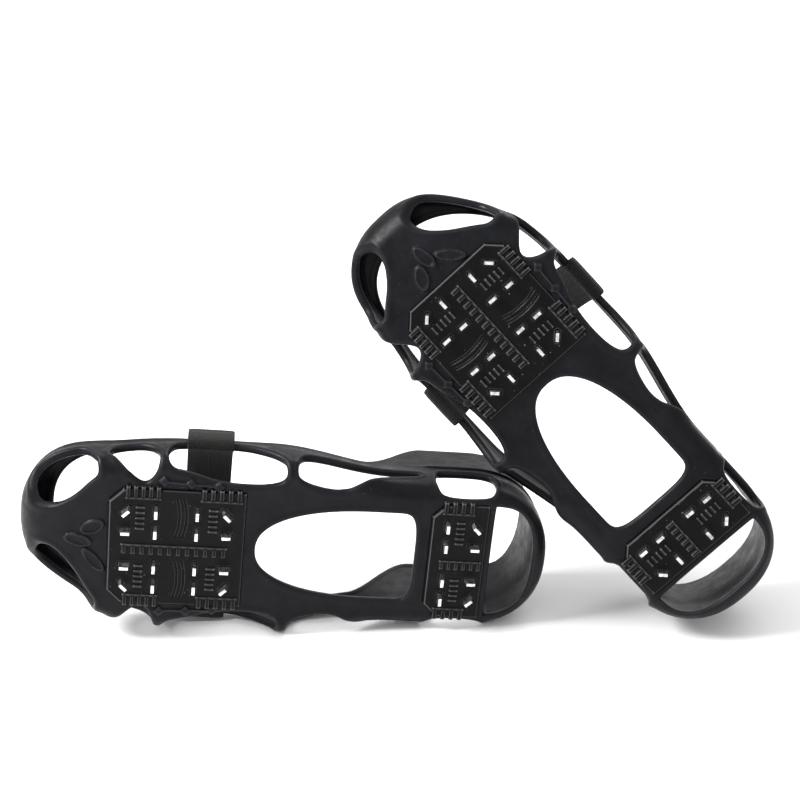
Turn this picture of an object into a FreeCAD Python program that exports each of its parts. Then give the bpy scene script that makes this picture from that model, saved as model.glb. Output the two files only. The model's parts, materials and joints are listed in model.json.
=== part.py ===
import FreeCAD, Part
import math
import os

# A pair of stretch-rubber ice cleats, pulled over the soles of shoes.
#
# Each cleat is designed in its own standing frame, in millimetres: it stands on its tooth tips at
# Z = 0, X runs from the toe to the heel with 0 at the front tooth groups, and Y runs across it.
# The pair is then posed: the right cleat lies on its outer side and the left one leans on its heel.

doc = FreeCAD.newDocument("ice_cleats")
sheet = doc.addObject("Spreadsheet::Sheet", "dims")

DIMENSIONS = [
    ("toe_end", -71, "front end of the outline"),
    ("heel_end", 238, "rear end of the outline"),
    ("fore_half", 57, "half the width at the ball of the foot"),
    ("heel_half", 46, "half the width at the heel"),
    ("fore_front", 40, "where the toe curve ends and the widest stretch starts"),
    ("fore_back", 72, "where the widest stretch ends"),
    ("waist_end", 150, "where the sides run straight again"),
    ("heel_start", 190, "where the heel curve starts"),
    ("sole_z", 8, "outer face of the rubber sole above the tooth tips"),
    ("sheet_thick", 4, "thickness of the rubber sole"),
    ("wall_thick", 3.5, "thickness of the side walls"),
    ("rim_z", 40, "top of the side rails"),
    ("cup_z", 70, "top of the heel cup"),
    ("toe_rise", 9, "how far the toe curls up"),
    ("spring_start", -18, "where the toe starts to curl up"),
    ("toe_bow", 8, "how far the tip of the toe lies towards the big toe"),
    ("hood_reach", 14, "how far the toe hood reaches back over the toe"),
    ("hood_thick", 3.5, "thickness of the toe hood"),
    ("pad_z", 6.5, "outer face of the tread pads"),
    ("pad_thick", 3, "thickness of the tread pads"),
    ("fore_pad_front", -19, "front edge of the forefoot pad"),
    ("fore_pad_back", 59, "rear edge of the forefoot pad"),
    ("heel_pad_front", 167, "front edge of the heel pad"),
    ("heel_pad_back", 200, "rear edge of the heel pad"),
    ("pad_half", 37, "half the width of the tread pads"),
    ("plate_thick", 1, "sheet steel of the spike plates"),
    ("plate_long", 26, "spike plate along the foot"),
    ("plate_wide", 22, "spike plate across the foot"),
    ("tooth_wide", 7, "width of a tooth at its root"),
    ("tooth_tip", 5, "width of a tooth at its tip"),
    ("tooth_thick", 1.8, "thickness of a tooth"),
    ("group_y", 17.7, "centre of the tooth groups from the middle of the sole"),
    ("rear_group_x", 39.5, "centre of the rear forefoot groups"),
    ("heel_group_x", 184, "centre of the heel groups"),
    ("cross_x", 8, "cross teeth from the middle of their group"),
    ("long_x", 9, "other teeth from the middle of their group"),
    ("tooth_y", 6.4, "teeth from the middle of their group, across"),
    ("strap_wide", 27, "width of the webbing"),
    ("strap_thick", 2.2, "thickness of the webbing"),
    ("strap_x", 37, "middle of the strap along the foot"),
    ("strap_top", 74, "top of the strap where it crosses the foot"),
    ("patch_thick", 1.4, "thickness of the hook and the loop patches"),
    ("clear", 0.3, "gap between parts that move or slide"),
]
for row, (alias, value, note) in enumerate(DIMENSIONS, start=1):
    sheet.set(f"A{row}", note)
    sheet.set(f"B{row}", str(value))
    sheet.setAlias(f"B{row}", alias)
doc.recompute()


def dim(alias):
    return float(sheet.get(alias))


# ---- where each cleat lies in the row frame: yaw, pitch and roll in degrees, then its origin ----

POSES = {
    "right": FreeCAD.Placement(
        FreeCAD.Vector(-149.2, -60.8, 64.4), FreeCAD.Rotation(4.3, 5.5, -90)
    ),
    "left": FreeCAD.Placement(
        FreeCAD.Vector(38.8, -8.6, 196.9), FreeCAD.Rotation(-18.4, 44.2, -109.3)
    ),
}
INNER_SIDE = {"right": -1, "left": 1}  # the side of the big toe, as a sign of Y

TOE_POWER = 2.5
HEEL_POWER = 2.3
WINDOW_POWER = 2.3
BOW_START, BOW_END = -8, -58  # where the toe starts to bend towards the big toe, and where it runs straight again
HIGH = 200  # taller than any part, for cutting shapes
MARGIN = 6  # how far the cutting shapes run past both ends of the outline


# ---- plan curves ----


def corner(x_flat, half, x_end, power, count=7):
    """A rounded end in the XY plane: from the middle of the end, at x_end, to half at x_flat."""
    points = []
    for i in range(count):
        angle = math.pi / 2 * i / count
        along = math.cos(angle) ** (2 / power)
        across = math.sin(angle) ** (2 / power)
        points.append((x_flat + (x_end - x_flat) * along, half * across))
    return points


def side_points(inset, count=5):
    """The outline's +Y side between the two rounded ends."""
    fore = dim("fore_half") - inset
    heel = dim("heel_half") - inset
    front, back = dim("fore_back"), dim("waist_end")
    points = [(dim("fore_front"), fore)]
    for i in range(count + 1):
        share = i / count
        blend = (1 - math.cos(math.pi * share)) / 2
        points.append((front + (back - front) * share, fore + (heel - fore) * blend))
    points.append((dim("heel_start"), heel))
    return points


def bowed(points, inner):
    """Points of a plan with the toe's middle line bent towards the inner side, given as a sign of Y."""
    bent = []
    for x, y in points:
        share = (BOW_START - x) / (BOW_START - BOW_END)
        share = min(max(share, 0), 1)
        bent.append((x, y + inner * dim("toe_bow") * share * share * (3 - 2 * share)))
    return bent


def outline_face(z, inner, inset=0.0, toe_inset=None):
    """The outline as a flat face at height z, drawn in all round by inset and at the toe by toe_inset."""
    toe_inset = inset if toe_inset is None else toe_inset
    toe = corner(dim("fore_front"), dim("fore_half") - inset, dim("toe_end") + toe_inset, TOE_POWER)
    heel = corner(dim("heel_start"), dim("heel_half") - inset, dim("heel_end") - inset, HEEL_POWER)
    upper = toe + side_points(inset) + heel[::-1]
    lower = [(x, -y) for x, y in upper[1:-1]][::-1]
    curve = Part.BSplineCurve()
    curve.interpolate([FreeCAD.Vector(x, y, z) for x, y in bowed(upper + lower, inner)], True)
    return Part.Face(Part.Wire(curve.toShape()))


def polygon_prism(points, z_low, z_high):
    """A vertical prism over a polygon given in X and Y."""
    corners = [FreeCAD.Vector(x, y, z_low) for x, y in points]
    face = Part.Face(Part.makePolygon(corners + corners[:1]))
    return face.extrude(FreeCAD.Vector(0, 0, z_high - z_low))


def spline_prism(points, z_low, z_high):
    """A vertical prism over a closed smooth curve given in X and Y."""
    curve = Part.BSplineCurve()
    curve.interpolate([FreeCAD.Vector(x, y, z_low) for x, y in points], True)
    face = Part.Face(Part.Wire(curve.toShape()))
    return face.extrude(FreeCAD.Vector(0, 0, z_high - z_low))


# ---- the harness: sole, side walls, rails, toe hood and heel cup in one rubber moulding ----


def side_view_prism(lift, top_edges):
    """Everything above the curled sole line, raised by lift, and below the edges given."""
    low = dim("sole_z") + lift
    start = dim("spring_start")
    nose = dim("toe_end") - MARGIN
    rise = dim("toe_rise") * ((start - nose) / (start - dim("toe_end"))) ** 2
    back = dim("heel_end") + MARGIN
    spring = Part.BezierCurve()
    spring.setPoles(
        [
            FreeCAD.Vector(start, -HIGH, low),
            FreeCAD.Vector((start + nose) / 2, -HIGH, low),
            FreeCAD.Vector(nose, -HIGH, low + rise),
        ]
    )
    first, last = top_edges[0].Vertexes[0].Point, top_edges[-1].Vertexes[-1].Point
    edges = [spring.toShape()]
    edges.append(Part.makeLine(FreeCAD.Vector(nose, -HIGH, low + rise), first))
    edges += top_edges
    edges.append(Part.makeLine(last, FreeCAD.Vector(back, -HIGH, low)))
    edges.append(Part.makeLine(FreeCAD.Vector(back, -HIGH, low), FreeCAD.Vector(start, -HIGH, low)))
    face = Part.Face(Part.Wire(Part.__sortEdges__(edges)))
    return face.extrude(FreeCAD.Vector(0, 2 * HIGH, 0))


def rim_edges():
    """The top of the walls: level along the rails, then up in a soft step to the heel cup."""
    rim, cup = dim("rim_z"), dim("cup_z")
    nose, back = dim("toe_end") - MARGIN, dim("heel_end") + MARGIN
    step_front, step_back = 128, 158
    middle = (step_front + step_back) / 2
    step = Part.BezierCurve()
    step.setPoles(
        [
            FreeCAD.Vector(step_front, -HIGH, rim),
            FreeCAD.Vector(middle, -HIGH, rim),
            FreeCAD.Vector(middle, -HIGH, cup),
            FreeCAD.Vector(step_back, -HIGH, cup),
        ]
    )
    front = Part.makeLine(FreeCAD.Vector(nose, -HIGH, rim), FreeCAD.Vector(step_front, -HIGH, rim))
    rear = Part.makeLine(FreeCAD.Vector(step_back, -HIGH, cup), FreeCAD.Vector(back, -HIGH, cup))
    return [front, step.toShape(), rear]


# The gaps in each side wall: how far in they reach through the sole's edge and through the wall above it,
# and their corners in X and Z.
SIDE_GAPS = {
    "front": (42, 42, [(-9, 0), (-12, 12), (-19, 20), (-17, 25), (-8, 28), (1, 27), (7, 20), (7, 0)]),
    "ball": (44, 44, [(16, 0), (16, 24), (20, 31), (50, 31), (66, 25), (76, 12), (76, 0)]),
    "arch": (46, 38, [(88, 0), (89, 20), (95, 26), (157, 31), (157, 24), (138, 22), (120, 8), (113, 0)]),
    "heel": (40.5, 40.5, [(169, 0), (169, 34), (203, 34), (203, 0)]),
}
# The gap over each corner of the toe, on the +Y side: along its inner edge, then round outside the outline.
TOE_GAP = [
    (-85, 16),
    (-73, 14),
    (-60, 10.5),
    (-51, 12),
    (-44, 17),
    (-37, 24),
    (-30, 34),
    (-26, 41),
    (-30, 48),
    (-42, 80),
    (-85, 80),
]
RAIL_HIGH = 9  # height of the rail over the toe gaps


def side_gaps():
    """Cutters for the gaps in both side walls."""
    cutters = []
    sole_top = dim("sole_z") + dim("sheet_thick") + 1
    for sole_reach, wall_reach, corners in SIDE_GAPS.values():
        points = [FreeCAD.Vector(x, wall_reach, z) for x, z in corners]
        face = Part.Face(Part.makePolygon(points + points[:1]))
        cutter = face.extrude(FreeCAD.Vector(0, HIGH, 0))
        if wall_reach < sole_reach:
            kept_from = FreeCAD.Vector(corners[0][0] - MARGIN, wall_reach - MARGIN, -MARGIN)
            kept_wide = sole_reach - wall_reach + MARGIN
            cutter = cutter.cut(Part.makeBox(HIGH, kept_wide, sole_top + MARGIN, kept_from))
        cutters.append(cutter)
        cutters.append(cutter.mirror(FreeCAD.Vector(0, 0, 0), FreeCAD.Vector(0, 1, 0)))
    return cutters


def toe_gaps(inner):
    """Cutters for the two gaps over the corners of the toe, up to the hood."""
    top = dim("rim_z") - RAIL_HIGH
    other = [(x, -y) for x, y in TOE_GAP]
    return [polygon_prism(bowed(corners, inner), -1, top) for corners in (TOE_GAP, other)]


WINDOW_TOP = 20  # how high the cutters for the windows in the sole reach


def arch_window():
    """The long window under the arch, round at the front and square with round corners behind."""
    front, back, half = 65, 160, 29.5
    nose_start, tail_start, tail_power = 135, 146, 4
    nose = corner(nose_start, half, front, WINDOW_POWER)
    tail = corner(tail_start, half, back, tail_power)
    upper = nose + tail[::-1]
    lower = [(x, -y) for x, y in upper[1:-1]][::-1]
    return spline_prism(upper + lower, 0, WINDOW_TOP)


def heel_window():
    """The D-shaped window under the heel."""
    front, back, half, power = 203, 230, 37, 2.6
    arc = corner(front + 1, half, back, power)[::-1]
    curve = Part.BSplineCurve()
    curve.interpolate(
        [FreeCAD.Vector(front, half, 0)]
        + [FreeCAD.Vector(x, y, 0) for x, y in arc]
        + [FreeCAD.Vector(x, -y, 0) for x, y in arc[::-1][1:]]
        + [FreeCAD.Vector(front, -half, 0)]
    )
    chord = Part.makeLine(FreeCAD.Vector(front, -half, 0), FreeCAD.Vector(front, half, 0))
    face = Part.Face(Part.Wire([curve.toShape(), chord]))
    return face.extrude(FreeCAD.Vector(0, 0, WINDOW_TOP))


HOOD_BACK = -10  # behind the ends of the toe hood
MOUTH_OVER = 2  # how far the curve of the hood's edge runs outside the outline at the sides


def toe_hood(inner):
    """The toe hood and the space above it; its edge is a curve that leaves through both side walls."""
    hood_z = dim("rim_z") - dim("hood_thick")
    nose = dim("toe_end") - MARGIN
    block = Part.makeBox(HOOD_BACK - nose, 2 * HIGH, HIGH, FreeCAD.Vector(nose, -HIGH, hood_z))
    mouth = outline_face(0, inner, -MOUTH_OVER, dim("wall_thick") + dim("hood_reach"))
    return block.cut(mouth.extrude(FreeCAD.Vector(0, 0, 2 * HIGH)))


def harness_shape(inner):
    """The sole and walls in one shell, open on top and turned in over the toe, with every opening."""
    up = FreeCAD.Vector(0, 0, HIGH)
    body = outline_face(0, inner).extrude(up).common(side_view_prism(0, rim_edges()))
    nose, back = dim("toe_end") - MARGIN, dim("heel_end") + MARGIN
    top = dim("cup_z") + MARGIN
    above = Part.makeLine(FreeCAD.Vector(nose, -HIGH, top), FreeCAD.Vector(back, -HIGH, top))
    inside = outline_face(0, inner, dim("wall_thick")).extrude(up)
    inside = inside.common(side_view_prism(dim("sheet_thick"), [above])).cut(toe_hood(inner))
    body = body.cut([inside, arch_window(), heel_window()] + side_gaps() + toe_gaps(inner))
    return body.removeSplitter()


# ---- tread pads, with a slot for every tooth ----


def tooth_spots(mirror, side):
    """The teeth of one group from its middle: place along X and Y, and direction of the blade in degrees."""
    diagonal = math.degrees(math.atan2(side, mirror))
    inner, outer = -side * dim("tooth_y"), side * dim("tooth_y")
    cross, along = mirror * dim("cross_x"), -mirror * dim("long_x")
    return [
        (cross, inner, 90),
        (cross, outer, 90),
        (along, inner, 0),
        (along, outer, diagonal),
    ]


def all_groups(inner=1):
    """Every tooth group: its name, the middle of its plate, which way its cross teeth lie, its side."""
    rear, heel = dim("rear_group_x"), dim("heel_group_x")
    stations = [("front", 0, 1), ("rear", rear, -1), ("heel", heel, -1)]
    groups = []
    for name, x, mirror in stations:
        for edge, side in (("inner", inner), ("outer", -inner)):
            groups.append((f"{name}_{edge}", x, side * dim("group_y"), mirror, side))
    return groups


PAD_CUT = 8  # how much of each front corner of a pad is cut off


def rectangle(x, y, long, wide, angle):
    """The corners of a turned rectangle."""
    turn = math.radians(angle)
    corners = []
    for u, v in ((-1, -1), (1, -1), (1, 1), (-1, 1)):
        along, across = u * long / 2, v * wide / 2
        corners.append(
            (
                x + along * math.cos(turn) - across * math.sin(turn),
                y + along * math.sin(turn) + across * math.cos(turn),
            )
        )
    return corners


def slots(x_low, x_high):
    """The slots that the teeth between two places along the foot go through."""
    found = []
    for _, x, y, mirror, side in all_groups():
        if x_low < x < x_high:
            for dx, dy, angle in tooth_spots(mirror, side):
                long = dim("tooth_wide") + 2 * dim("clear")
                wide = dim("tooth_thick") + 2 * dim("clear")
                found.append(rectangle(x + dx, y + dy, long, wide, angle))
    return found


def pad_outline(front, back):
    """A tread pad in plan: a rectangle with its two front corners cut off."""
    half, cut = dim("pad_half"), PAD_CUT
    return [
        (front, -half + cut),
        (front + cut, -half),
        (back, -half),
        (back, half),
        (front + cut, half),
        (front, half - cut),
    ]


PADS = {
    "forefoot_pad": ("fore_pad_front", "fore_pad_back"),
    "heel_pad": ("heel_pad_front", "heel_pad_back"),
}


# ---- sketches and bodies ----


def lines(corners):
    """Sketch lines round a polygon."""
    points = [FreeCAD.Vector(x, y, 0) for x, y in corners]
    return [Part.LineSegment(a, b) for a, b in zip(points, points[1:] + points[:1])]


def new_body(label):
    body = doc.addObject("PartDesign::Body", label)
    body.Label = label
    return body


def new_pad(body, plane, offset, geometry, length):
    """A sketch on one of the body's planes, raised by the offset expression, and padded along its normal."""
    step = f"{body.Name}_{len(body.Group)}"
    sketch = body.newObject("Sketcher::SketchObject", f"sketch_{step}")
    support = next(f for f in body.Origin.OriginFeatures if f.Role == plane)
    sketch.AttachmentSupport = (support, "")
    sketch.MapMode = "FlatFace"
    sketch.setExpression(".AttachmentOffset.Base.z", offset)
    for item in geometry:
        sketch.addGeometry(item)
    pad = body.newObject("PartDesign::Pad", f"pad_{step}")
    pad.Profile = sketch
    pad.setExpression("Length", length)
    body.Tip = pad
    return pad


def tread_pad(side, kind):
    """A tread pad, moulded round its teeth."""
    front, back = (dim(alias) for alias in PADS[kind])
    body = new_body(f"{side}_{kind}")
    geometry = lines(pad_outline(front, back))
    for slot in slots(front, back):
        geometry += lines(slot)
    new_pad(body, "XY_Plane", "dims.pad_z", geometry, "dims.pad_thick")
    return body


# ---- spike plates: a flat steel plate with four teeth pressed down out of it ----


def spike_plate(side, name, x, y, mirror, hand):
    """One plate with its teeth: two across the foot and two along it, one of those turned outwards."""
    label = f"{side}_{name}_spike_plate"
    plate = doc.addObject("Part::Box", f"{label}_sheet")
    plate.setExpression("Length", "dims.plate_long")
    plate.setExpression("Width", "dims.plate_wide")
    plate.setExpression("Height", "dims.plate_thick")
    root_z = dim("pad_z") + dim("pad_thick")
    plate.Placement.Base = FreeCAD.Vector(x - dim("plate_long") / 2, y - dim("plate_wide") / 2, root_z)
    pieces = [plate]
    for number, (dx, dy, angle) in enumerate(tooth_spots(mirror, hand), start=1):
        tooth = doc.addObject("Part::Wedge", f"{label}_tooth_{number}")
        tooth.Ymin = 0
        for low, high, alias in (
            ("Xmin", "Xmax", "tooth_wide"),
            ("X2min", "X2max", "tooth_tip"),
            ("Zmin", "Zmax", "tooth_thick"),
            ("Z2min", "Z2max", "tooth_thick"),
        ):
            tooth.setExpression(low, f"-dims.{alias} / 2")
            tooth.setExpression(high, f"dims.{alias} / 2")
        tooth.setExpression("Ymax", "dims.pad_z + dims.pad_thick")
        tooth.Placement = FreeCAD.Placement(
            FreeCAD.Vector(x + dx, y + dy, root_z), FreeCAD.Rotation(angle, 0, -90)
        )
        pieces.append(tooth)
    fused = doc.addObject("Part::MultiFuse", label)
    fused.Shapes = pieces
    fused.Label = label
    return fused


# ---- strap: webbing round both rails and over the foot, closed by a hook-and-loop tail ----


def strap_arch():
    """The height of the centre and the radius of the webbing's middle line over the foot."""
    foot_y = dim("fore_half") - dim("wall_thick") - dim("clear") - dim("strap_thick") / 2
    foot_z = dim("rim_z") + dim("strap_thick") / 2
    rise = dim("strap_top") - foot_z
    radius = (foot_y**2 + rise**2) / (2 * rise)
    return dim("strap_top") - radius, radius


def angle_at(radius, z):
    """Degrees from the top to where a circle about the arch's centre comes down to height z."""
    return math.degrees(math.acos((z - strap_arch()[0]) / radius))


def sector(r_low, r_high, start, end, hand):
    """Sketch geometry of a curved strip about the arch's centre, between two angles from the top."""
    centre = FreeCAD.Vector(0, strap_arch()[0], 0)
    normal = FreeCAD.Vector(0, 0, 1)
    low, high = sorted(math.radians(90 - hand * angle) for angle in (start, end))
    ends = []
    for angle in (low, high):
        ray = FreeCAD.Vector(math.cos(angle), math.sin(angle), 0)
        ends.append(Part.LineSegment(centre + ray * r_low, centre + ray * r_high))
    arcs = [Part.ArcOfCircle(Part.Circle(centre, normal, r), low, high) for r in (r_low, r_high)]
    return arcs + ends


def loop_section(hand, slack):
    """Sketch geometry of the webbing's loop round one rail, standing off its outer face by slack."""
    thick, gap = dim("strap_thick"), dim("clear")
    rail_low = max(z for _, z in SIDE_GAPS["ball"][2])
    y_in = dim("fore_half") - dim("wall_thick") - gap
    y_out = dim("fore_half") + gap + slack
    z_low, z_high = rail_low - gap, dim("rim_z") + gap
    hole = [(y_in, z_low), (y_out, z_low), (y_out, z_high), (y_in, z_high)]
    shell = [
        (y_in - thick, z_low - thick),
        (y_out + thick, z_low - thick),
        (y_out + thick, z_high + thick),
        (y_in - thick, z_high + thick),
    ]
    return lines([(hand * y, z) for y, z in hole]) + lines([(hand * y, z) for y, z in shell])


STRAP_START = "dims.strap_x - dims.strap_wide / 2"
TAIL_LIFT = 4.5  # how far above the rail the fold is that the tail opens about
TAIL_TIP = 10  # degrees from the top to the tail's free end
LOOP_AHEAD = 6  # degrees that the loop patch runs past the tail's free end
PATCH_BEHIND = 12  # degrees that the patches stop short of the fold
FOLD_SLACK = 1.0  # how far the webbing's fold stands off the rail on the inner side


def strap_bodies(side):
    """The webbing over the foot, its two patches and its free tail."""
    hand = INNER_SIDE[side]
    _, radius = strap_arch()
    half = dim("strap_thick") / 2
    patch, gap = dim("patch_thick"), dim("clear")

    band = new_body(f"{side}_strap_band")
    arch_end = angle_at(radius, dim("rim_z") + gap + half / 2)
    arch = sector(radius - half, radius + half, -arch_end, arch_end, hand)
    new_pad(band, "YZ_Plane", STRAP_START, arch, "dims.strap_wide")
    new_pad(band, "YZ_Plane", STRAP_START, loop_section(hand, FOLD_SLACK), "dims.strap_wide")
    new_pad(band, "YZ_Plane", STRAP_START, loop_section(-hand, 0), "dims.strap_wide")

    r_loop = radius + half
    r_hook = r_loop + patch + gap
    r_tail = r_hook + patch
    tail_root = angle_at(r_tail + half, dim("rim_z") + TAIL_LIFT)
    strips = {
        "loop_patch": (r_loop, r_loop + patch, TAIL_TIP - LOOP_AHEAD, tail_root - PATCH_BEHIND),
        "hook_patch": (r_hook, r_tail, TAIL_TIP + 1, tail_root - PATCH_BEHIND - 2),
        "strap_tail": (r_tail, r_tail + 2 * half, TAIL_TIP, tail_root),
    }
    bodies = [band]
    for name, (r_low, r_high, start, end) in strips.items():
        body = new_body(f"{side}_{name}")
        new_pad(body, "YZ_Plane", STRAP_START, sector(r_low, r_high, start, end, hand), "dims.strap_wide")
        bodies.append(body)
    return bodies


# ---- build both cleats and pose them ----


def pocketed_harness(inner):
    """The harness with the recesses that the pads and the spike plates sit in."""
    recesses = []
    plate_z = dim("pad_z") + dim("pad_thick")
    for front, back in PADS.values():
        recesses.append(polygon_prism(pad_outline(dim(front), dim(back)), 0, plate_z))
    for _, x, y, _, _ in all_groups():
        corners = rectangle(x, y, dim("plate_long"), dim("plate_wide"), 0)
        recesses.append(polygon_prism(corners, 0, plate_z + dim("plate_thick")))
    return harness_shape(inner).cut(recesses).removeSplitter()


def cleat(side):
    """Every part of one cleat, put where the cleat lies."""
    harness = doc.addObject("Part::Feature", f"{side}_harness")
    harness.Label = f"{side}_harness"
    harness.Shape = pocketed_harness(INNER_SIDE[side])
    parts = [harness]
    parts += [tread_pad(side, kind) for kind in PADS]
    parts += [spike_plate(side, *group) for group in all_groups(INNER_SIDE[side])]
    parts += strap_bodies(side)
    for part in parts:
        part.Placement = POSES[side]
    return parts


sub_parts = cleat("right") + cleat("left")
doc.recompute()

for item in doc.Objects:
    if "Invalid" in item.State or "Error" in item.State:
        raise RuntimeError(f"{item.Label} did not compute: {item.State}")

os.makedirs("parts", exist_ok=True)
for part in sub_parts:
    if part.Shape.isNull() or not part.Shape.isValid():
        raise RuntimeError(f"{part.Label} has no valid shape")
    part.Shape.exportStep(f"parts/{part.Label}.step")
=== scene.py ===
"""A pair of stretch-rubber shoe ice cleats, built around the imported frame.

Lengths are in millimetres in each cleat's own frame: X from toe to heel, Y across, Z up from the
tooth tips with the cleat standing on them. Each mesh is then placed in the row's frame, in metres.
"""

import math

import bpy
import numpy as np
from mathutils import Euler, Matrix, Vector
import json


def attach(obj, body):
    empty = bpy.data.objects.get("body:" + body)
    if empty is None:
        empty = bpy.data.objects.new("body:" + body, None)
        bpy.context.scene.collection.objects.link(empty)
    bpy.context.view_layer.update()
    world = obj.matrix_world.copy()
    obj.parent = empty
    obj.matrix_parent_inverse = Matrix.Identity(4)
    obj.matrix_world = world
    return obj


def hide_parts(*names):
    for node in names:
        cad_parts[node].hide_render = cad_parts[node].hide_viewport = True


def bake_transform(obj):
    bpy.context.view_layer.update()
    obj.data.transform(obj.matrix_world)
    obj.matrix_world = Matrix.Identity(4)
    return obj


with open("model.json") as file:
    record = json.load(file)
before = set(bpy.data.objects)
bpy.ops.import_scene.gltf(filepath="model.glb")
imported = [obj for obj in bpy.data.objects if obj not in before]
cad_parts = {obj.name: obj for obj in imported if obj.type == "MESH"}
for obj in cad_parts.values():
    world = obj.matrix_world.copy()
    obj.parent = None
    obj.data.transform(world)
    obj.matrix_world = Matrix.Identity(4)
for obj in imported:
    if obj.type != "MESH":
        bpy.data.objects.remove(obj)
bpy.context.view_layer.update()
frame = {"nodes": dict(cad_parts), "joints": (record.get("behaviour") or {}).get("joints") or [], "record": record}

MM = 0.001
SIDES = ("right", "left")
INNER_SIDE = {"right": -1, "left": 1}  # the side of each cleat, along Y, where its strap is fastened
SEAT_X, SEAT_Z = 40, 12  # where the record's shoe seat is in the cleat's own frame

# ---- the harness, in the CAD's sizes ----
TOE_END, HEEL_END = -71, 238
FORE_HALF, HEEL_HALF = 57, 46  # half the width at the ball and at the heel
FORE_FRONT, FORE_BACK = 40, 72  # the outline is at its widest between these
WAIST_END, HEEL_START = 150, 190  # and has the heel's width between these
TOE_POWER, HEEL_POWER = 2.5, 2.3  # of the superellipses that close its ends
SHEET_MID, SHELL_THICK = 10, 3.7  # height of the sole web's middle surface, and the shell's thickness
CORNER_R, TOE_SOFTER = 6, 6  # the bend from sole to wall, and what is added to it at the toe
SOFT_START, SOFT_RUN = -22, 34  # where that starts, and over what length
RIM_Z, CUP_Z = 40, 70  # height of the rim at the foot's sides and round the heel cup
CUP_START, CUP_RUN = 124, 40  # where the rim starts to climb to the cup, and over what length
TOE_RISE, SPRING_START = 9, -18  # how far the toe curls up, and where that starts
TOE_BOW, BOW_START, BOW_END = 8, -8, -58  # the toe's bend towards the big toe, and its two ends
HOOD_REACH, HOOD_MID, HOOD_HALF = 14, 38.2, 1.5  # the toe hood's reach, height and half thickness
HOOD_BACK, HOOD_FADE = -12, 10  # behind HOOD_BACK each of its faces draws in 1 mm in HOOD_FADE mm
MOUTH_INSET = 3.5  # from the wall's outer face to the edge of the mouth beside the foot
PAD_FACE, PAD_BACK = 6.5, 9.5  # heights of a tread pad's lower and upper face
SHELL_FACE = SHEET_MID - SHELL_THICK / 2

# ---- the strap, whose arcs have their centre at ARCH_Z ----
STRAP_X, STRAP_HALF, STRAP_THICK = 37, 13.5, 2.2
ARCH_R, ARCH_Z = 57.7, 16.3
TAIL_R, LOOP_R, HOOK_R = 63, 59.5, 61.2
PATCH_INSET, PATCH_HALF = 0.6, 0.65  # a patch's margin to the webbing's edge, and half its thickness


def cleat_frame(side):
    """Where a cleat's own frame is, read from the record's seat and strap hinge."""
    seat = next(m for m in frame["record"]["mounts"] if m["name"] == f"{side}_shoe_seat")
    peel = next(j for j in frame["joints"] if j["name"] == f"{side}_strap_peel")
    up = Vector(seat["axis"]).normalized()
    along = (-INNER_SIDE[side] * Vector(peel["axis"])).normalized()
    turn = Matrix((along, up.cross(along), up)).transposed()
    origin = Vector(seat["pos_m"]) - turn @ Vector((SEAT_X * MM, 0, SEAT_Z * MM))
    return Matrix.Translation(origin) @ turn.to_4x4()


FRAMES = {side: cleat_frame(side) for side in SIDES}


# ---- distance fields: negative inside the material ----


def smooth_min(a, b, k):
    """The lesser of two fields, with the crease between them rounded over k."""
    blend = np.maximum(k - np.abs(a - b), 0) / k
    return np.minimum(a, b) - blend * blend * k / 4


def smooth_max(a, b, k):
    return -smooth_min(-a, -b, k)


def eased(share):
    """A soft step from 0 to 1 as share goes from 0 to 1."""
    share = np.clip(share, 0, 1)
    return share * share * (3 - 2 * share)


def rounded(points, rounds=3):
    """A closed outline with its corners cut again and again into smooth curves."""
    points = np.array(points, float)
    for _ in range(rounds):
        after = np.roll(points, -1, axis=0)
        cuts = [0.75 * points + 0.25 * after, 0.25 * points + 0.75 * after]
        points = np.stack(cuts, axis=1).reshape(-1, 2)
    return points


def mirrored(upper):
    """A closed outline from the points of its +Y half."""
    upper = np.array(upper, float)
    return np.vstack([upper, (upper * (1, -1))[::-1]])


def outline_distance(px, py, outline):
    """Signed distance to a closed outline, negative inside."""
    best = np.full(np.broadcast(px, py).shape, 1e9)
    inside = np.zeros(best.shape, bool)
    for (ax, ay), (bx, by) in zip(outline, np.roll(outline, -1, axis=0)):
        ex, ey = bx - ax, by - ay
        length = ex * ex + ey * ey
        if length < 1e-9:
            continue
        share = np.clip(((px - ax) * ex + (py - ay) * ey) / length, 0, 1)
        best = np.minimum(best, (px - ax - share * ex) ** 2 + (py - ay - share * ey) ** 2)
        if ey:
            inside ^= ((ay > py) != (by > py)) & (px < ax + ex * (py - ay) / ey)
    return np.where(inside, -1, 1) * np.sqrt(best)


def box_distance(px, py, x, y, half_x, half_y, angle=0.0, radius=0.4):
    """Signed distance in plan to a turned rectangle with rounded corners."""
    c, s = math.cos(angle), math.sin(angle)
    u = np.abs((px - x) * c + (py - y) * s) - half_x + radius
    v = np.abs((py - y) * c - (px - x) * s) - half_y + radius
    return np.hypot(np.maximum(u, 0), np.maximum(v, 0)) + np.minimum(np.maximum(u, v), 0) - radius


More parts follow.
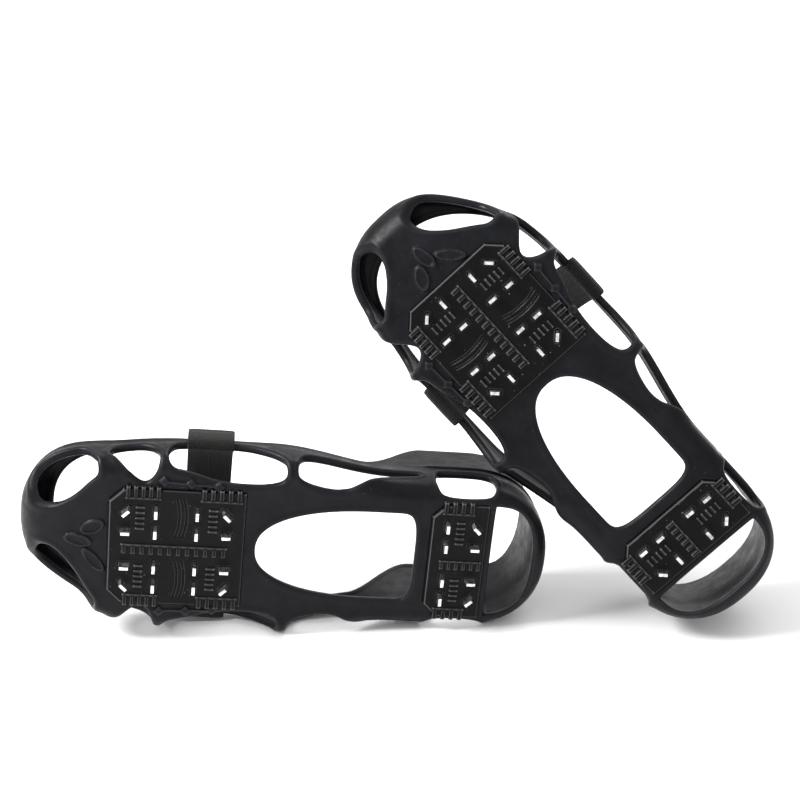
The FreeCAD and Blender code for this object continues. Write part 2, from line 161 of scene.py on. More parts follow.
def surface_net(field, axes):
    """A closed quad mesh of the field's zero level, with a vertex in each cell that it crosses."""
    inside = field < 0
    nx, ny, nz = field.shape
    corners = [(i, j, k) for i in (0, 1) for j in (0, 1) for k in (0, 1)]
    count = np.zeros((nx - 1, ny - 1, nz - 1), np.int8)
    for i, j, k in corners:
        count += inside[i : nx - 1 + i, j : ny - 1 + j, k : nz - 1 + k]
    active = (count > 0) & (count < 8)
    cells = np.argwhere(active)
    values = [field[tuple((cells + corner).T)] for corner in corners]
    total = np.zeros(cells.shape)
    hits = np.zeros(len(cells))
    for a, first in enumerate(corners):
        for b, second in enumerate(corners):
            step = np.subtract(second, first)
            if step.min() < 0 or step.sum() != 1:
                continue
            cross = (values[a] < 0) != (values[b] < 0)
            gap = np.where(cross, values[a] - values[b], 1)
            share = np.where(cross, values[a] / gap, 0)
            total += (np.array(first) + share[:, None] * step) * cross[:, None]
            hits += cross
    spacing = np.array([axis[1] - axis[0] for axis in axes])
    start = np.array([axis[0] for axis in axes])
    verts = start + (cells + total / hits[:, None]) * spacing
    number = np.full(active.shape, -1)
    number[active] = np.arange(len(cells))
    quads = []
    for axis in range(3):
        low = inside[tuple(slice(0, -1) if n == axis else slice(None) for n in range(3))]
        high = inside[tuple(slice(1, None) if n == axis else slice(None) for n in range(3))]
        spots = np.argwhere(low != high)
        b, c = np.eye(3, dtype=int)[(axis + 1) % 3], np.eye(3, dtype=int)[(axis + 2) % 3]
        ring = [number[tuple((spots - offset).T)] for offset in (0 * b, b, b + c, c)]
        quad = np.stack(ring, axis=1)
        flip = ~low[tuple(spots.T)]
        quad[flip] = quad[flip][:, ::-1]
        quads.append(quad)
    return verts, np.vstack(quads)


# ---- meshes ----


def new_mesh(name, verts, faces, uv=None):
    """A smooth mesh of four-cornered faces; uv holds one pair for each face corner."""
    mesh = bpy.data.meshes.new(name)
    mesh.vertices.add(len(verts))
    mesh.vertices.foreach_set("co", np.asarray(verts, np.float32).ravel())
    mesh.loops.add(faces.size)
    mesh.loops.foreach_set("vertex_index", faces.astype(np.int32).ravel())
    mesh.polygons.add(len(faces))
    mesh.polygons.foreach_set("loop_start", np.arange(0, faces.size, 4, dtype=np.int32))
    mesh.update(calc_edges=True)
    if uv is not None:
        layer = mesh.uv_layers.new(name="UVMap")
        layer.data.foreach_set("uv", np.asarray(uv, np.float32).ravel())
    mesh.validate()
    mesh.shade_smooth()
    return mesh


def add_piece(name, side, verts, faces, material, slot, body, nodes, uv=None):
    """One visible piece of a cleat, in place of the CAD nodes named, on a body if one is named."""
    place = np.array(FRAMES[side])
    world = np.asarray(verts) * MM @ place[:3, :3].T + place[:3, 3]
    mesh = new_mesh(f"{side}_{name}", world, faces, uv)
    mesh.materials.append(material)
    piece = bpy.data.objects.new(f"{side}_{name}", mesh)
    bpy.context.scene.collection.objects.link(piece)
    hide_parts(*[f"{side}_{node}" for node in nodes])
    if body:
        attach(piece, f"{side}_{body}")
    return piece


# ---- materials ----


class Nodes:
    """A material's node tree, with short ways to add and join its nodes."""

    def __init__(self, name):
        self.material = bpy.data.materials.new(name)
        self.material.use_nodes = True
        self.tree = self.material.node_tree
        self.shader = self.tree.nodes["Principled BSDF"]

    def add(self, kind, **inputs):
        node = self.tree.nodes.new(f"ShaderNode{kind}")
        for key, value in inputs.items():
            socket = node.inputs[key.replace("_", " ")]
            if isinstance(value, bpy.types.NodeSocket):
                self.tree.links.new(value, socket)
            else:
                socket.default_value = value
        return node

    def ramp(self, value, low, high):
        """Maps a value to a colour or grey between low and high, each a place and a colour."""
        node = self.tree.nodes.new("ShaderNodeValToRGB")
        self.tree.links.new(value, node.inputs["Fac"])
        for element, (place, colour) in zip(node.color_ramp.elements, (low, high)):
            element.position = place
            element.color = (*(colour if isinstance(colour, tuple) else (colour,) * 3), 1)
        return node.outputs["Color"]

    def noise(self, vector, scale, detail=3.0, rough=0.5):
        node = self.add("TexNoise", Vector=vector, Scale=scale, Detail=detail, Roughness=rough)
        return node.outputs["Fac"]

    def math(self, operation, first, second):
        node = self.add("Math")
        node.operation = operation
        self.tree.links.new(first, node.inputs[0])
        self.tree.links.new(second, node.inputs[1])
        return node.outputs[0]

    def set(self, **values):
        """Sets the shader's own sockets, named with _ for each space."""
        for key, value in values.items():
            self.shader.inputs[key.replace("_", " ")].default_value = value

    def link(self, output, socket):
        self.tree.links.new(output, self.shader.inputs[socket])

    def place(self):
        return self.tree.nodes.new("ShaderNodeTexCoord").outputs["Object"]

    def bump(self, height, strength, distance, normal=None):
        inputs = {"Height": height, "Strength": strength, "Distance": distance}
        if normal is not None:
            inputs["Normal"] = normal
        return self.add("Bump", **inputs).outputs["Normal"]


def rubber(name, dark, light, rough, grain, highlight_and_dust_lift, specular):
    """Moulded rubber: a clouded dark colour with painted edge highlights and paler dust, uneven gloss and a grain.
    """
    nodes = Nodes(name)
    nodes.set(Specular_IOR_Level=specular)
    place = nodes.place()
    cloud = nodes.noise(place, 55, 5, 0.6)
    colour = nodes.ramp(cloud, (0.3, dark), (0.75, light))
    # painted highlight: the sharpest edges are made paler in the base colour, standing in for the light they catch
    sharp = nodes.tree.nodes.new("ShaderNodeNewGeometry").outputs["Pointiness"]
    painted_edge_highlight = nodes.ramp(sharp, (0.51, 0.0), (0.60, 1.0))
    dust = nodes.ramp(nodes.noise(place, 620, 2, 0.4), (0.73, 0.0), (0.79, 0.8))
    highlight_and_dust = nodes.math("MAXIMUM", painted_edge_highlight, dust)
    # the paler colour of the painted edge highlights and of the dust
    edge = tuple(2.0 * c + highlight_and_dust_lift for c in light)
    mix = nodes.tree.nodes.new("ShaderNodeMix")
    mix.data_type = "RGBA"
    nodes.tree.links.new(highlight_and_dust, mix.inputs["Factor"])
    nodes.tree.links.new(colour, mix.inputs["A"])
    mix.inputs["B"].default_value = (*edge, 1)
    nodes.link(mix.outputs["Result"], "Base Color")
    gloss = nodes.ramp(nodes.noise(place, 130, 4, 0.65), (0.3, rough - 0.09), (0.7, rough + 0.13))
    nodes.link(gloss, "Roughness")
    coarse = nodes.bump(nodes.noise(place, 240, 3), 0.25, 0.0006)
    fine = nodes.bump(nodes.noise(place, 2600, 2), grain, 0.00012, coarse)
    nodes.link(fine, "Normal")
    return nodes.material


def steel():
    """Stamped stainless steel, brushed, with small scratches and darker patches."""
    nodes = Nodes("stainless_steel")
    place = nodes.place()
    nodes.set(Metallic=1.0)
    patch = nodes.noise(place, 320, 4, 0.6)
    colour = nodes.ramp(patch, (0.34, (0.46, 0.46, 0.48)), (0.58, (0.96, 0.96, 0.95)))
    nodes.link(colour, "Base Color")
    stretch = nodes.add("Mapping", Vector=place)
    stretch.inputs["Scale"].default_value = (300, 300, 4200)
    scratch = nodes.noise(stretch.outputs["Vector"], 1.0, 3)
    nodes.link(nodes.ramp(scratch, (0.3, 0.22), (0.7, 0.42)), "Roughness")
    nodes.link(nodes.bump(scratch, 0.35, 0.00006), "Normal")
    return nodes.material


def webbing():
    """Woven strap: raised yarns across, crossed by finer ones along, in brown-black."""
    nodes = Nodes("strap_webbing")
    place = nodes.tree.nodes.new("ShaderNodeUVMap").outputs["UV"]
    across = nodes.add("TexWave", Vector=place, Scale=0.34, Distortion=0.6, Detail=1.0)
    across.bands_direction = "X"
    along = nodes.add("TexWave", Vector=place, Scale=0.22, Distortion=0.4, Detail=1.0)
    along.bands_direction = "Y"
    weave = nodes.math("MULTIPLY", across.outputs["Fac"], along.outputs["Fac"])
    fuzz = nodes.noise(nodes.place(), 1500, 4, 0.7)
    colour = nodes.ramp(fuzz, (0.35, (0.0055, 0.0052, 0.0050)), (0.8, (0.026, 0.024, 0.023)))
    nodes.link(colour, "Base Color")
    nodes.set(Roughness=0.85, Specular_IOR_Level=0.15, Sheen_Weight=0.08)
    coarse = nodes.bump(weave, 0.8, 0.0005)
    nodes.link(nodes.bump(fuzz, 0.5, 0.0002, coarse), "Normal")
    return nodes.material


def pile():
    """The fuzzy faces of the hook and the loop patch."""
    nodes = Nodes("hook_and_loop_pile")
    fuzz = nodes.noise(nodes.place(), 1900, 6, 0.8)
    colour = nodes.ramp(fuzz, (0.35, (0.006, 0.006, 0.006)), (0.75, (0.035, 0.034, 0.033)))
    nodes.link(colour, "Base Color")
    nodes.set(Roughness=0.95, Specular_IOR_Level=0.1, Sheen_Weight=0.12)
    nodes.link(nodes.bump(fuzz, 1.0, 0.0006), "Normal")
    return nodes.material


HARNESS_RUBBER = rubber(
    "harness_rubber",
    dark=(0.0018, 0.0019, 0.0026),
    light=(0.0078, 0.0081, 0.0108),
    rough=0.37,
    grain=0.5,
    # how much paler the painted edge highlights and the dust are
    highlight_and_dust_lift=0.016,
    specular=0.13,
)
PAD_RUBBER = rubber(
    "pad_rubber",
    dark=(0.0014, 0.0014, 0.0015),
    light=(0.0036, 0.0036, 0.0039),
    rough=0.34,
    grain=0.4,
    # how much paler the painted edge highlights and the dust are
    highlight_and_dust_lift=0.15,
    specular=0.11,
)
STEEL = steel()
WEBBING = webbing()
PILE = pile()


# ---- harness ----

# The gaps in each side wall, as corners of a rounded outline: place along X, and length round the
# section from about 8 mm inside the sole's edge. Behind the toe, a height on the wall is that length
# plus 6.6.
SIDE_GAPS = {
    "front": (
        (-21, 15), (-18, 21), (-8, 24), (3, 21.5), (10, 12), (9, 1), (5, -6), (0, -7.5), (-5, -4),
        (-12, 4), (-19, 11),
    ),
    "ball": (
        (12, 8), (14, 19), (20, 25.5), (52, 26), (68, 20), (81, 10), (83, -1), (76, -6.5), (60, -8),
        (42, -6.5), (26, -1), (16, 1),
    ),
    "arch": (
        (86, 1), (88, 14), (95, 20.5), (125, 22), (160, 25), (161, 17.5), (141, 15), (126, 6),
        (113, -3), (94, -3.5),
    ),
    "heel": (
        (168, 6), (168, 24), (174, 28.5), (198, 28.5), (205, 24), (205, 6), (197, 1.5), (175, 1.5),
    ),
}
SECTION_STEP = 0.5  # between the lengths at which the side gaps are tabled
# The +Y half of the opening over each corner of the toe, in X and Y.
TOE_GAP = (
    (-90, 16), (-73, 14), (-60, 10.5), (-51, 12), (-44, 17), (-37, 24), (-30, 34), (-24, 41),
    (-26, 50), (-36, 80), (-90, 80),
)
TOE_GAP_TOP = (18, 27.5)  # the top of that opening beside the tongue and out at the sides
TOE_GAP_SIDE, TOE_GAP_RUN = 13, 17  # how far out its top starts to climb, and over what width
TOE_GAP_LEAN, LEAN_START, LEAN_HEIGHT = 0.65, 14, 18  # its lean forward, from where up, for how far
# The arch window has a round nose and a squarer tail, and the heel window is round behind. Each of
# these curves is given by its X at the side and on the middle line, and by its power.
ARCH_WINDOW_HALF, ARCH_NOSE, ARCH_TAIL = 29.5, (135, 65), (146, 160)
NOSE_POWER, TAIL_POWER = 2.3, 4
HEEL_WINDOW_HALF, HEEL_WINDOW_FRONT, HEEL_WINDOW_REAR, REAR_POWER = 37, 203, (204, 230), 2.6
# How far the wall stands out of its plan at some heights: most at mid height, least at its rim.
WALL_HEIGHTS = (3, 9, 15, 22, 30, 39, 55, 76)
WALL_SWELL = (-1.5, -1.0, 0.0, 0.1, -0.2, -2.0, -3.6, -5.0)
# The rolled edge round each opening: its radius, and how far its middle lies back from the opening
# and off the shell's middle surface.
EDGE_R, EDGE_BACK, EDGE_OFF = 2.2, 1.3, 0.3
# The bead round the heel: height, radius, and where it fades in along X.
CUP_BEAD_Z, CUP_BEAD_R, CUP_BEAD_START = 42, 1.3, 168
# Low ovals moulded on the toe: place along X and Y, and direction in degrees.
TOE_OVALS = ((-28, -8, -38), (-36, 3, -8), (-27, 13, 42))
OVAL_LONG, OVAL_WIDE = 7.2, 3.2  # half an oval's sizes
OVAL_RISE, MARK_RISE = 0.9, 1.7  # how far an oval, and the rims and ridges, stand off the sole's face
# The ridge along each edge of the forefoot, and the diamonds on it, in X and Y.
RIDGE = (27.5, 41.3)
RIDGE_LONG, RIDGE_HALF, RIDGE_TURN = 16, 0.7, -0.05
DIAMONDS = ((12, 42.3), (27.5, 41.5), (43, 40.3))
DIAMOND_HALF = 2.4


def quarter(start, half, end, power, count=24):
    """A superellipse quarter from the side, at start, to the middle line, at end."""
    points = []
    for i in range(count):
        turn = math.pi / 2 * i / count
        along = math.sin(turn) ** (2 / power)
        across = math.cos(turn) ** (2 / power)
        points.append((start + (end - start) * along, half * across))
    return points + [(end, 0.0)]


def foot_outline(inset=0.0, toe_inset=0.0, count=24):
    """The harness in plan, drawn in all round by inset and at the toe by toe_inset."""
    fore, heel = FORE_HALF - inset, HEEL_HALF - inset
    side = []
    for i in range(count + 1):
        share = i / count
        blend = (1 - math.cos(math.pi * share)) / 2
        side.append((FORE_BACK + (WAIST_END - FORE_BACK) * share, fore + (heel - fore) * blend))
    toe = quarter(FORE_FRONT, fore, TOE_END + toe_inset, TOE_POWER)[::-1]
    rear = quarter(HEEL_START, heel, HEEL_END - inset, HEEL_POWER)
    return mirrored(toe + side + rear)


def arch_window_outline():
    nose_start, nose_end = ARCH_NOSE
    tail_start, tail_end = ARCH_TAIL
    nose = quarter(nose_start, ARCH_WINDOW_HALF, nose_end, NOSE_POWER)[::-1]
    return mirrored(nose + quarter(tail_start, ARCH_WINDOW_HALF, tail_end, TAIL_POWER))


def heel_window_outline():
    start, end = HEEL_WINDOW_REAR
    rear = quarter(start, HEEL_WINDOW_HALF, end, REAR_POWER)
    return rounded(mirrored([(HEEL_WINDOW_FRONT, HEEL_WINDOW_HALF)] + rear[::3] + rear[-1:]), 2)


def side_gap_distance(x, lengths):
    """Signed distance to the nearest side gap over the unrolled section, one row for each X."""
    best = np.full((len(x), len(lengths)), 1e9)
    for corners in SIDE_GAPS.values():
        best = np.minimum(best, outline_distance(x[:, None], lengths[None, :], rounded(corners)))
    return best


def outline_grid(outline, low=(-100, -5), high=(10, 85), spacing=0.5):
    """Signed distances to an outline on a plan grid, to look places up in."""
    xs = np.arange(low[0], high[0], spacing)
    ys = np.arange(low[1], high[1], spacing)
    return outline_distance(xs[:, None], ys[None, :], outline), low, spacing


def lookup(grid, x, y):
    """Values of a plan grid at places between its points, or at its edge for places past it."""
    table, low, spacing = grid
    u = np.clip((x - low[0]) / spacing, 0, table.shape[0] - 1.001)
    v = np.clip((y - low[1]) / spacing, 0, table.shape[1] - 1.001)
    u, v = np.broadcast_arrays(u, v)
    i, j = u.astype(np.int32), v.astype(np.int32)
    u, v = u - i, v - j
    near = table[i, j] * (1 - u) + table[i + 1, j] * u
    far = table[i, j + 1] * (1 - u) + table[i + 1, j + 1] * u
    return near * (1 - v) + far * v


def wall_swell(z, rounds=8):
    """How far the wall stands out of its plan at each height, smoothed."""
    swell = np.interp(z, WALL_HEIGHTS, WALL_SWELL)
    for _ in range(rounds):
        swell[1:-1] = (swell[:-2] + 2 * swell[1:-1] + swell[2:]) / 4
    return swell


def unrolled(x, out, level):
    """Distance from the shell's middle surface, and length round the section from sole to wall."""
    corner = (CORNER_R + TOE_SOFTER * eased((SOFT_START - x) / SOFT_RUN))[:, None, None]
    a = out + SHELL_THICK / 2 + corner
    b = level - SHEET_MID - corner
    on_bend = (a > 0) & (b < 0)
    on_wall = (b >= 0) & (a > -b)
    bend = np.hypot(a, b) - corner
    middle = np.where(on_bend, bend, np.where(on_wall, a - corner, -b - corner))
    on_sole_or_wall = np.where(on_wall, corner * math.pi / 2 + b, a)
    return middle, np.where(on_bend, corner * np.arctan2(a, -b), on_sole_or_wall)


def openings(x, px, py, straight, height, length):
    """Every window and gap of the shell as one field, negative where it is open."""
    lengths = np.arange(-60, 80, SECTION_STEP)
    table = side_gap_distance(x, lengths)
    place = np.clip((length - lengths[0]) / SECTION_STEP, 0, len(lengths) - 1.001)
    low = place.astype(np.int32)
    row = np.arange(len(x))[:, None, None]
    opening = table[row, low] * (1 - place + low) + table[row, low + 1] * (place - low)
    for window in (arch_window_outline(), heel_window_outline()):
        opening = np.minimum(opening, outline_distance(px, py, window)[:, :, None])
    off_middle = np.abs(straight)[:, :, None]
    lean = TOE_GAP_LEAN * np.clip(height - LEAN_START, 0, LEAN_HEIGHT)
    toe_gap = lookup(outline_grid(rounded(TOE_GAP)), px[:, :, None] + lean, off_middle)
    low_top, high_top = TOE_GAP_TOP
    gap_top = low_top + (high_top - low_top) * eased((off_middle - TOE_GAP_SIDE) / TOE_GAP_RUN)
    return np.minimum(opening, smooth_max(toe_gap, height - gap_top, 6))


def toe_hood(x, height, out, mouth):
    """The sheet over the toe, with a rolled edge round the mouth, fading out towards the foot."""
    fade = np.clip((x - HOOD_BACK) / HOOD_FADE, 0, 6)[:, None, None]
    hood = smooth_max(np.abs(height - HOOD_MID) - HOOD_HALF, fade - mouth, 2)
    hood = smooth_max(hood, out + 1, 2)
    roll = np.hypot(height - HOOD_MID, mouth - 1.2) - 2.0 + fade
    return smooth_min(hood, roll, 1.5)


def sole_marks(px, py, straight, face):
    """What stands off the sole's face: ovals with rims at the toe, and the forefoot's ridges."""
    for x, y, angle in TOE_OVALS:
        c, s = math.cos(math.radians(angle)), math.sin(math.radians(angle))
        u = ((px - x) * c + (straight - y) * s) / OVAL_LONG
        v = ((straight - y) * c - (px - x) * s) / OVAL_WIDE
        oval = (np.hypot(u, v) - 1)[:, :, None] * OVAL_WIDE
        yield smooth_max(oval, np.abs(face) - OVAL_RISE, 0.6)
        yield smooth_max(np.abs(oval) - 0.45, np.abs(face) - MARK_RISE, 0.4)
    ridge = box_distance(px, np.abs(py), *RIDGE, RIDGE_LONG, RIDGE_HALF, RIDGE_TURN)
    for x, y in DIAMONDS:
        diamond = box_distance(px, np.abs(py), x, y, DIAMOND_HALF, DIAMOND_HALF, math.pi / 4)
        ridge = np.minimum(ridge, diamond)
    yield smooth_max(ridge[:, :, None], np.abs(face) - MARK_RISE, 0.4)


def harness_mesh():
    """The harness as one smooth closed shell with its openings, rolled edges, toe hood and cup."""
    step = 0.8
    x = np.arange(TOE_END - 4, HEEL_END + 5, step)
    y = np.arange(-FORE_HALF - 6, FORE_HALF + 7, step)
    z = np.arange(3, CUP_Z + 6, step)
    px, py, height = x[:, None], y[None, :], z[None, None, :]
    bow = TOE_BOW * eased((BOW_START - px) / (BOW_START - BOW_END))
    straight = py + bow
    out = outline_distance(px, straight, foot_outline())[:, :, None] - wall_swell(z)
    mouth_outline = foot_outline(MOUTH_INSET, MOUTH_INSET + HOOD_REACH)
    mouth = outline_distance(px, straight, mouth_outline)[:, :, None]
    curl = TOE_RISE * np.clip((SPRING_START - x) / (SPRING_START - TOE_END), 0, 1.1) ** 2
    level = height - curl[:, None, None]
    middle, length = unrolled(x, out, level)

    # the shell ends in a rolled edge at each opening and at the rim, which climbs to the heel cup
    rim = RIM_Z + (CUP_Z - RIM_Z) * eased((x - CUP_START) / CUP_RUN)
    slope = np.hypot(1, np.gradient(rim, x))
    over = (rim[:, None, None] - height) / slope[:, None, None]
    free = np.minimum(openings(x, px, py, straight, height, length), over)
    solid = smooth_max(np.abs(middle) - SHELL_THICK / 2, -free, 1.6)
    solid = smooth_min(solid, np.hypot(middle + EDGE_OFF, free - EDGE_BACK) - EDGE_R, 1.5)
    solid = smooth_min(solid, toe_hood(x, height, out, mouth), 3)

    # a bead round the heel where the cup begins
    fade = np.clip((CUP_BEAD_START - px) / 8, 0, 5)[:, :, None]
    cup_bead = np.hypot(middle - SHELL_THICK / 2, height - CUP_BEAD_Z) - CUP_BEAD_R + fade
    solid = smooth_min(solid, cup_bead, 1.5)

    for mark in sole_marks(px, py, straight, level - SHELL_FACE):
        solid = smooth_min(solid, mark, 0.4)

    # the recesses that the tread pads sit in
    for front, back in PADS.values():
        recess = outline_distance(px, py, pad_outline(front, back))[:, :, None] + 0.25
        solid = np.maximum(solid, -np.maximum(recess, height - PAD_BACK - 0.2))
    return surface_net(solid.astype(np.float32), (x, y, z))


# ---- tread pads ----

PADS = {"forefoot": (-19, 59), "heel": (167, 200)}  # the front and back edge of each, along X
PAD_HALF, PAD_CORNER = 37, 8  # half a pad's width, and how much of its front corners is cut off
# Each pair of spike plates: its middle along X, and whether its crosswise teeth are on the side
# towards the heel (1) or the toe (-1).
PLATES = ((0, 1), (39.5, -1), (184, -1))
# From the middle line to a plate's middle, and from there to its teeth along Y and X.
PLATE_Y, TOOTH_Y, CROSS_X, LONG_X = 17.7, 6.4, 8, 9
BOSS_LONG, BOSS_WIDE, BOSS_R = 4.9, 2.2, 2.0  # half sizes and corners of the boss round each tooth
# Combs at each side of a pad: X, number of ribs, pitch, half a rib's thickness, and half the length
# of the rail along them.
SIDE_COMBS = {
    "forefoot": ((0.5, 5, 4.3, 1.2, 10.2), (45, 5, 5.0, 1.35, 12)),
    "heel": ((182, 4, 5.0, 1.35, 9.5),),
}
SIDE_COMB_Y, SIDE_RAIL_Y, RAIL_HALF = 35.2, 31.6, 0.7
COMB_HALF = 3.6  # half the length of the side combs' ribs, which step out past the pad's edge
# Combs between the teeth of each plate: their X and Y, and the ribs' count, pitch and half sizes.
PLATE_COMBS = {"forefoot": (-1, 40.5), "heel": (184,)}
PLATE_COMB_Y, PLATE_COMB = 19, (5, 3.4, 2.6, 0.75)
# Along a pad's middle line: a comb, as X, Y, count, pitch and half sizes, and a rail, as X, Y and
# half sizes.
MIDDLE_COMBS = {"forefoot": (19, 1.6, 12, 5.2, 1.2, 2.8), "heel": (186, 2.4, 6, 4.4, 1.1, 2.6)}
MIDDLE_RAILS = {"forefoot": (19, -1.4, 30.5, 0.7), "heel": (186, -0.4, 12.5, 0.6)}
# The curved grooves that part the forefoot's blocks: their radius, how far back along X each one
# reaches, the Y of its middle, and half its length.
GROOVE_R, GROOVES, GROOVE_Y, GROOVE_REACH = 40, (21.5, 25.5), 20, 12.5


def pad_outline(front, back):
    """A tread pad in plan: a rectangle with its two front corners cut off."""
    cut = [(front, 0), (front, PAD_HALF - PAD_CORNER), (front + PAD_CORNER, PAD_HALF)]
    return mirrored(cut + [(back, PAD_HALF), (back, 0)])


def tooth_spots():
    """Every tooth of a cleat: place along X and Y, and direction of its blade in radians."""
    spots = []
    for x, mirror in PLATES:
        for side in (1, -1):
            y = side * PLATE_Y
            for end in (-1, 1):
                along = 0 if end < 0 else math.atan2(side, mirror)
                spots.append((x + mirror * CROSS_X, y + end * side * TOOTH_Y, math.pi / 2))
                spots.append((x - mirror * LONG_X, y + end * side * TOOTH_Y, along))
    return spots


def comb(x, y, count, pitch, half_x, half_y, across=False):
    """The places and half sizes of a row of ribs, along X or across it."""
    ribs = []
    for i in range(count):
        offset = (i - (count - 1) / 2) * pitch
        spot = (x, y + offset) if across else (x + offset, y)
        ribs.append((*spot, half_x, half_y))
    return ribs


def pad_ribs(kind):
    """The raised ribs of a pad's tread: place and half size of each."""
    ribs = comb(*MIDDLE_COMBS[kind]) + [MIDDLE_RAILS[kind]]
    for side in (1, -1):
        for x, count, pitch, half, rail in SIDE_COMBS[kind]:
            ribs += comb(x, side * SIDE_COMB_Y, count, pitch, half, COMB_HALF)
            ribs.append((x, side * SIDE_RAIL_Y, rail, RAIL_HALF))
        for x in PLATE_COMBS[kind]:
            ribs += comb(x, side * PLATE_COMB_Y, *PLATE_COMB, across=True)
    return ribs


def pad_mesh(kind):
    """A tread pad: a thick plate with ribs, a raised border, grooves and a rim round each tooth."""
    front, back = PADS[kind]
    step = 0.4
    x = np.arange(front - 2, back + 2.5, step)
    y = np.arange(-PAD_HALF - 4, PAD_HALF + 4.5, step)
    z = np.arange(PAD_FACE - 2.7, PAD_BACK + 1.0, step)
    px, py, height = x[:, None], y[None, :], z[None, None, :]
    plan = outline_distance(px, py, pad_outline(front, back))
    relief = np.zeros(plan.shape)

    def edge(distance, soft):
        """1 inside and 0 outside, with a slope of the given width between them."""
        return np.clip(0.5 - distance / soft, 0, 1)

    border = np.maximum(np.abs(plan + 0.9) - 0.45, px - front - 12)
    relief = np.maximum(relief, 0.7 * edge(border, 0.5))
    steps = np.full(plan.shape, 1e9)
    for rx, ry, half_x, half_y in pad_ribs(kind):
        rib = box_distance(px, py, rx, ry, half_x, half_y)
        relief = np.maximum(relief, edge(rib, 0.5))
        if half_y == COMB_HALF:
            steps = np.minimum(steps, rib)
    for tx, ty, angle in tooth_spots():
        if front < tx < back:
            boss = box_distance(px, py, tx, ty, BOSS_LONG, BOSS_WIDE, angle, BOSS_R)
            relief = np.maximum(relief, 0.35 * edge(boss, 1.2))
            relief -= 0.8 * edge(boss + 0.9, 0.6)
    if kind == "forefoot":
        for side in (1, -1):
            off = py - side * GROOVE_Y
            for bend in GROOVES:
                groove = np.abs(np.hypot(px - bend + GROOVE_R, off) - GROOVE_R) - 0.45
                relief -= 0.7 * edge(np.maximum(groove, np.abs(off) - GROOVE_REACH), 0.6)
    face = (PAD_FACE - relief)[:, :, None] - height
    solid = smooth_max(smooth_max(face, height - PAD_BACK, 0.4), plan[:, :, None], 0.9)
    outer = smooth_max(smooth_max(face, height - SHELL_FACE - 0.3, 0.3), steps[:, :, None], 0.4)
    return surface_net(np.minimum(solid, outer).astype(np.float32), (x, y, z))


# ---- strap ----

# The webbing's fold round each rail, in Y and Z with +Y the strap's fastened side.
FAR_FOLD = (
    (-56, 44.5), (-58.6, 41), (-58.7, 33), (-57.6, 29.6), (-54, 29.6), (-52.2, 32), (-52.1, 40),
)
NEAR_FOLD = ((52.1, 40), (52.2, 32), (54, 29.6), (57.8, 29.6), (59.2, 33), (59.4, 40))
TAIL_START = ((59.4, 40), (59.3, 42), (58.6, 43.6))
# Angles, in degrees from the top towards +Y, between which each piece runs.
OVERLAP_ANGLES, FOOT_ANGLES, TAIL_ANGLES = (-38, -54), (-62, 62), (62, 10)
LOOP_ANGLES, HOOK_ANGLES = (4, 50), (11, 49)


def arc(radius, angles, count):
    """Points in Y and Z about the strap's centre, between two angles."""
    turns = np.radians(np.linspace(*angles, count))
    return [(radius * math.sin(t), ARCH_Z + radius * math.cos(t)) for t in turns]


def smooth_path(points, rounds=3):
    """An open line with its corners cut again and again, its ends kept."""
    points = np.array(points, float)
    for _ in range(rounds):
        first, after = points[:-1], points[1:]
        cuts = [0.75 * first + 0.25 * after, 0.25 * first + 0.75 * after]
        inner = np.stack(cuts, axis=1).reshape(-1, 2)
        points = np.vstack([points[:1], inner[1:-1], points[-1:]])
    return points


def ribbon(path, half_wide, half_thick, hand):
    """A flat strip swept along a line in Y and Z, with round edges and UVs of length and width."""
    path = np.array(path, float) * (hand, 1)
    run = np.gradient(path, axis=0)
    run /= np.linalg.norm(run, axis=1)[:, None]
    normal = np.stack([-run[:, 1], run[:, 0]], axis=1)
    turns = np.linspace(0, 2 * math.pi, 40, endpoint=False)
    across = np.sign(np.cos(turns)) * np.abs(np.cos(turns)) ** 0.5 * half_wide
    off = np.sign(np.sin(turns)) * np.abs(np.sin(turns)) ** 0.35 * half_thick
    along = np.concatenate([[0], np.cumsum(np.linalg.norm(np.diff(path, axis=0), axis=1))])
    verts, uv_points = [], []
    for (cy, cz), (ny, nz), s in zip(path, normal, along):
        for w, n in zip(across, off):
            verts.append((STRAP_X + w, cy + ny * n, cz + nz * n))
            uv_points.append((s, w))
    ring = len(turns)
    faces = []
    for i in range(len(path) - 1):
        for j in range(ring):
            k = (j + 1) % ring
            faces.append((i * ring + j, i * ring + k, (i + 1) * ring + k, (i + 1) * ring + j))
    for start, flip in ((0, True), ((len(path) - 1) * ring, False)):
        for j in range(ring // 2 - 1):
            quad = (start + j, start + j + 1, start + ring - 2 - j, start + ring - 1 - j)
            faces.append(quad[::-1] if flip else quad)
    faces = np.array(faces)
    if hand > 0:
        faces = faces[:, ::-1]
    uv = np.array(uv_points)[faces.ravel()]
    return np.array(verts), faces, uv


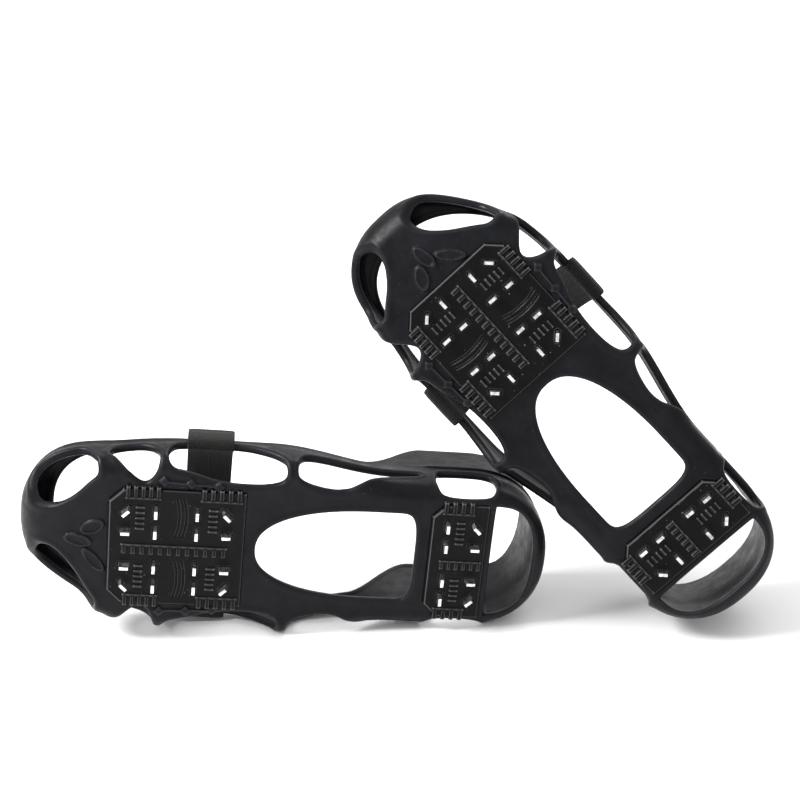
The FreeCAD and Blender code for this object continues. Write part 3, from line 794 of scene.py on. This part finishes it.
def add_strap(side):
    """The webbing round both rails and over the foot, its loose tail and the two patches."""
    hand = INNER_SIDE[side]

    def add_strip(name, path, half_wide, half_thick, material, slot, body, node):
        verts, faces, uv = ribbon(path, half_wide, half_thick, hand)
        return add_piece(name, side, verts, faces, material, slot, body, [node], uv)

    cloth = (STRAP_HALF, STRAP_THICK / 2, WEBBING, "webbing")
    overlap = arc(ARCH_R + STRAP_THICK, OVERLAP_ANGLES, 3)
    band = smooth_path([*overlap, *FAR_FOLD, *arc(ARCH_R, FOOT_ANGLES, 60), *NEAR_FOLD])
    add_strip("strap_band_webbing", band, *cloth, "cleat", "strap_band")
    tail = smooth_path([*TAIL_START, *arc(TAIL_R, TAIL_ANGLES, 40)])
    piece = add_strip("strap_tail_webbing", tail, *cloth, None, "strap_tail")
    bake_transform(piece)
    patch = (STRAP_HALF - PATCH_INSET, PATCH_HALF, PILE, "hook_and_loop")
    add_strip("loop_patch_pile", arc(LOOP_R, LOOP_ANGLES, 30), *patch, "cleat", "loop_patch")
    add_strip("hook_patch_pile", arc(HOOK_R, HOOK_ANGLES, 30), *patch, "strap_flap", "hook_patch")


# ---- build both cleats ----

verts, faces = harness_mesh()
harness = {"right": (verts, faces), "left": (verts * (1, -1, 1), faces[:, ::-1])}
pads = {kind: pad_mesh(kind) for kind in PADS}
for cleat in SIDES:
    shell = harness[cleat]
    add_piece("harness_shell", cleat, *shell, HARNESS_RUBBER, "harness_rubber", "cleat", ["harness"])
    for kind, pad in pads.items():
        add_piece(f"{kind}_tread", cleat, *pad, PAD_RUBBER, "pad_rubber", "cleat", [f"{kind}_pad"])
    add_strap(cleat)
for node, part in frame["nodes"].items():
    if node.endswith("spike_plate"):
        part.data.materials.clear()
        part.data.materials.append(STEEL)

# ---- floor, light and camera ----

FLOOR_HALF = 6  # metres

floor_mesh = bpy.data.meshes.new("floor")
floor_corners = [(x * FLOOR_HALF, y * FLOOR_HALF, 0) for x, y in ((-1, -1), (1, -1), (1, 1), (-1, 1))]
floor_mesh.from_pydata(floor_corners, [], [(0, 1, 2, 3)])
floor = bpy.data.objects.new("floor", floor_mesh)
bpy.context.scene.collection.objects.link(floor)
floor_nodes = Nodes("floor_paper")
floor_grain = floor_nodes.noise(floor_nodes.place(), 3, 2)
floor_nodes.link(floor_nodes.ramp(floor_grain, (0.3, 0.90), (0.7, 0.92)), "Base Color")
floor_nodes.set(Roughness=0.9)
floor_mesh.materials.append(floor_nodes.material)

world = bpy.data.worlds.new("studio")
world.use_nodes = True
world.node_tree.nodes["Background"].inputs["Color"].default_value = (1, 1, 1, 1)
world.node_tree.nodes["Background"].inputs["Strength"].default_value = 0.92
bpy.context.scene.world = world
bpy.context.scene.view_settings.view_transform = "Standard"


def area_light(name, place, aim, size, power):
    """A round light of the given size in metres and power in watts, turned to face a place."""
    light = bpy.data.lights.new(name, "AREA")
    light.shape = "DISK"
    light.size = size
    light.energy = power
    lamp = bpy.data.objects.new(name, light)
    lamp.location = place
    lamp.rotation_euler = (Vector(aim) - Vector(place)).to_track_quat("-Z", "Y").to_euler()
    bpy.context.scene.collection.objects.link(lamp)


area_light("key", (-1.1, -0.25, 1.1), aim=(0, 0, 0.08), size=0.6, power=34)
area_light("back", (0.5, 1.3, 1.3), aim=(0, 0, 0.1), size=1.0, power=9)

camera_data = bpy.data.cameras.new("camera")
camera_data.lens = 81
camera_data.sensor_width = 36
camera = bpy.data.objects.new("camera", camera_data)
camera.location = (-0.0002, -0.9671, 0.5635)
camera.rotation_euler = Euler((math.radians(66), 0, 0))
bpy.context.scene.collection.objects.link(camera)
bpy.context.scene.camera = camera
